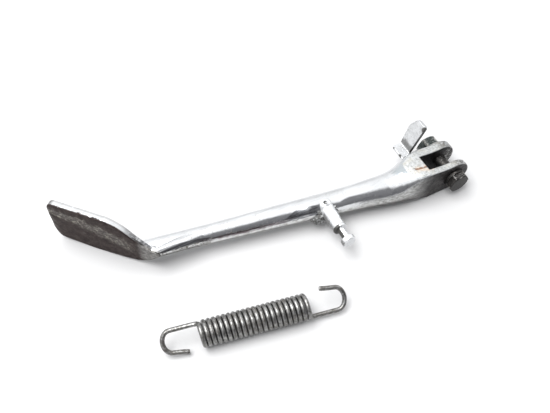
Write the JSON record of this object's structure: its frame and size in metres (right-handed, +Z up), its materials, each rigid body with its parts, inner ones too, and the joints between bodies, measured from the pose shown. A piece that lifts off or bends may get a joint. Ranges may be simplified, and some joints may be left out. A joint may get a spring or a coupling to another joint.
{
  "type": "motorcycle side stand",
  "caption": "Motorcycle side stand: tapered leg with forked pivot end, bent foot plate, spring post, stop tab, pivot bolt and nut, with its loose return spring.",
  "frame": {"origin": "middle of the footprint, on the surface the stand lies on", "axes": "+X from the foot towards the fork's ears, +Y along the pivot axis from bolt head to nut, +Z up from the surface"},
  "size_m": [0.3048, 0.1598, 0.0472],
  "materials": {
    "chrome": "old chrome plate with pits, scratches and grime; the sole of the foot is worn through to dark, scratched steel",
    "blackened": "black oxide with dirt",
    "zinc": "dull grey-green zinc",
    "spring_steel": "oily grey steel with light rust"
  },
  "bodies": {
    "pivot": {"pivot_bolt": "blackened", "head_washer": "blackened", "nut_washer": "zinc", "pivot_nut": "zinc"},
    "leg": {"leg_bar": "chrome", "foot_plate": "chrome", "fork_root": "chrome", "fork_ear_near": "chrome", "fork_ear_far": "chrome", "spring_post": "chrome", "post_weld_foot_side": "chrome", "post_weld_fork_side": "chrome", "stop_tab": "chrome", "tab_weld": "chrome"},
    "spring": {"spring_coil": "spring_steel", "spring_hook_foot_end": "spring_steel"},
    "spring_end": {"spring_hook_fork_end": "spring_steel"}
  },
  "joints": [
    {"name": "leg_swing", "type": "hinge", "parent": "pivot", "child": "leg", "pos_m": [0.1384, -0.01389, 0.014], "axis": [0, 1, 0], "range_deg": [0, 100]},
    {"name": "spring_lift", "type": "slide", "parent": "pivot", "child": "spring", "axis": [0, 0, 1], "range_m": [0, 0.06]},
    {"name": "spring_stretch", "type": "slide", "parent": "spring", "child": "spring_end", "axis": [0.9774, -0.2113, 0], "range_m": [0, 0.035], "deforming": ["spring_coil"]}
  ]
}
